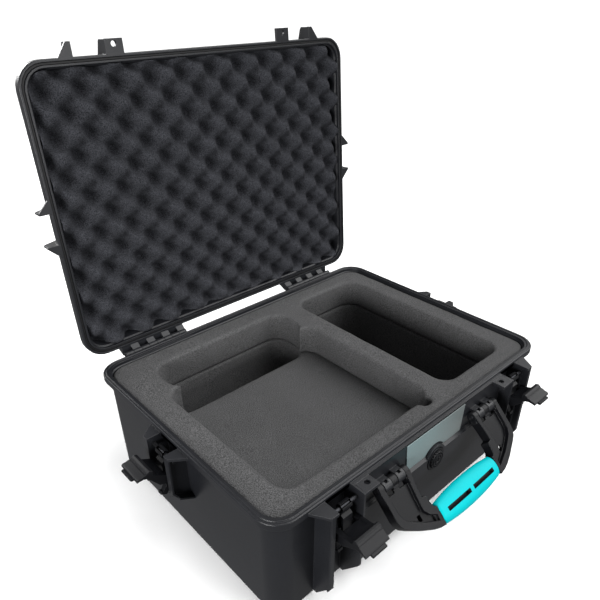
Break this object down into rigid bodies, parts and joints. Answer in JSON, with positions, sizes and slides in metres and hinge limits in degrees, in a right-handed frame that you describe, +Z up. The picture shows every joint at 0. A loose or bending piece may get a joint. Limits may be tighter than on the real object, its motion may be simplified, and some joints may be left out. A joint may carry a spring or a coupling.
{
  "type": "hard equipment case",
  "caption": "Hard moulded equipment case with a hinged egg-crate foam lid, double-throw latches, a folding handle, a pressure valve and fitted foam pockets.",
  "frame": {"origin": "centre of the base's flat underside", "axes": "+X to the right seen from the front (handle side), +Y to the back (hinge side), +Z up"},
  "size_m": [0.6182, 0.5337, 0.545],
  "materials": {
    "case_plastic": "fine moulded texture, satin black",
    "latch_plastic": "satin black nylon",
    "foam": "charcoal open-cell foam",
    "seal_rubber": "matt black rubber",
    "grip_rubber": "matt teal soft-touch rubber",
    "nameplate_film": "plain frosted pale film, no text",
    "pin_steel": "drawn steel rod"
  },
  "bodies": {
    "base": {"base_shell": "case_plastic", "foam_upper": "foam", "foam_lower": "foam", "foam_pad": "foam", "nameplate": "nameplate_film", "valve_body": "latch_plastic", "valve_seal": "seal_rubber", "hinge_pin_left": "pin_steel", "hinge_pin_right": "pin_steel", "handle_pin_left": "pin_steel", "handle_pin_right": "pin_steel", "latch_pivot_front_left": "pin_steel", "latch_pivot_front_right": "pin_steel", "latch_pivot_left": "pin_steel", "latch_pivot_right": "pin_steel"},
    "lid": {"lid_shell": "case_plastic", "lid_foam": "foam", "lid_seal": "seal_rubber"},
    "handle": {"handle_frame": "latch_plastic", "handle_grip": "grip_rubber"},
    "valve": {"valve_knob": "latch_plastic"},
    "link_front_left": {"latch_link_front_left": "latch_plastic"},
    "link_front_right": {"latch_link_front_right": "latch_plastic"},
    "link_left": {"latch_link_left": "latch_plastic"},
    "link_right": {"latch_link_right": "latch_plastic"},
    "lever_front_left": {"latch_lever_front_left": "latch_plastic", "latch_pin_front_left": "pin_steel"},
    "lever_front_right": {"latch_lever_front_right": "latch_plastic", "latch_pin_front_right": "pin_steel"},
    "lever_left": {"latch_lever_left": "latch_plastic", "latch_pin_left": "pin_steel"},
    "lever_right": {"latch_lever_right": "latch_plastic", "latch_pin_right": "pin_steel"}
  },
  "joints": [
    {"name": "lid_hinge", "type": "hinge", "parent": "base", "child": "lid", "pos_m": [0, 0.19572, 0.14855], "axis": [-1, 0, 0], "range_deg": [-94.1, 0]},
    {"name": "handle_swing", "type": "hinge", "parent": "base", "child": "handle", "pos_m": [0, -0.198, 0.126], "axis": [-1, 0, 0], "range_deg": [-30, 54]},
    {"name": "valve_turn", "type": "hinge", "parent": "base", "child": "valve", "pos_m": [0, -0.195, 0.098], "axis": [0, 1, 0], "range_deg": [-120, 0]},
    {"name": "front_left_link", "type": "hinge", "parent": "base", "child": "link_front_left", "pos_m": [-0.1642, -0.19577, 0.1405], "axis": [1, 0, 0], "range_deg": [-169, 0]},
    {"name": "front_left_lever", "type": "hinge", "parent": "link_front_left", "child": "lever_front_left", "pos_m": [-0.1642, -0.19818, 0.113], "axis": [-1, 0, 0], "range_deg": [-265, 0]},
    {"name": "front_right_link", "type": "hinge", "parent": "base", "child": "link_front_right", "pos_m": [0.1642, -0.19577, 0.1405], "axis": [1, 0, 0], "range_deg": [-169, 0]},
    {"name": "front_right_lever", "type": "hinge", "parent": "link_front_right", "child": "lever_front_right", "pos_m": [0.1642, -0.19818, 0.113], "axis": [-1, 0, 0], "range_deg": [-280, 0]},
    {"name": "left_link", "type": "hinge", "parent": "base", "child": "link_left", "pos_m": [-0.26, 0, 0.1405], "axis": [0, -1, 0], "range_deg": [-169, 0]},
    {"name": "left_lever", "type": "hinge", "parent": "link_left", "child": "lever_left", "pos_m": [-0.26241, 0, 0.113], "axis": [0, 1, 0], "range_deg": [-287, 0]},
    {"name": "right_link", "type": "hinge", "parent": "base", "child": "link_right", "pos_m": [0.26, 0, 0.1405], "axis": [0, 1, 0], "range_deg": [-169, 0]},
    {"name": "right_lever", "type": "hinge", "parent": "link_right", "child": "lever_right", "pos_m": [0.26241, 0, 0.113], "axis": [0, -1, 0], "range_deg": [-265, 0]}
  ],
  "couplings": [
    {"joint": "front_left_lever", "follows": "front_left_link", "ratio": 1.568},
    {"joint": "front_right_lever", "follows": "front_right_link", "ratio": 1.6568},
    {"joint": "left_lever", "follows": "left_link", "ratio": 1.6982},
    {"joint": "right_lever", "follows": "right_link", "ratio": 1.568}
  ]
}
